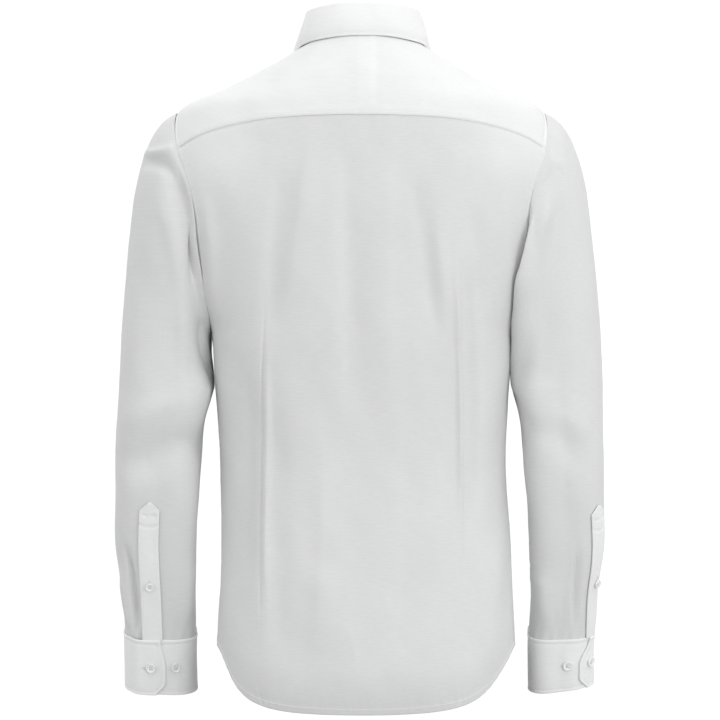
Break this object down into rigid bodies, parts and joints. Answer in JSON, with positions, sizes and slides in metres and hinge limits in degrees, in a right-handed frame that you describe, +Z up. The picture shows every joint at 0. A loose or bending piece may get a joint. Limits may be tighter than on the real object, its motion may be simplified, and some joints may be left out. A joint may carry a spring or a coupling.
{
  "type": "pique shirt",
  "caption": "Long-sleeved button-front pique shirt in its worn, hollow form, with a turned-down collar, back yoke, waist darts, buttoned cuffs and a shirt-tail hem.",
  "frame": {"origin": "Middle of the neck, level with the collar seam at the middle of the back, where a neck or a hanger holds the shirt", "axes": "+Z up towards the collar, +X towards the wearer's left side, -Y towards the front with the buttons, +Y towards the back"},
  "size_m": [0.5488, 0.2509, 0.7766],
  "materials": {
    "pique_cloth": "matte fine cotton pique, single",
    "doubled_cloth": "matte cotton pique, two layers with topstitched edges",
    "button": "polished white"
  },
  "bodies": {
    "root": {"back_panel": "pique_cloth", "yoke": "doubled_cloth", "front_left": "pique_cloth", "front_right": "pique_cloth", "front_placket": "doubled_cloth", "collar_stand": "doubled_cloth", "collar_leaf": "doubled_cloth", "sleeve_left": "pique_cloth", "sleeve_right": "pique_cloth", "sleeve_placket_left": "doubled_cloth", "sleeve_placket_right": "doubled_cloth", "cuff_left": "doubled_cloth", "cuff_right": "doubled_cloth", "button_front_1": "button", "button_front_2": "button", "button_front_3": "button", "button_front_4": "button", "button_front_5": "button", "button_front_6": "button", "button_collar": "button", "button_cuff_left_1": "button", "button_cuff_left_2": "button", "button_cuff_right_1": "button", "button_cuff_right_2": "button", "button_placket_left": "button", "button_placket_right": "button"}
  },
  "joints": []
}
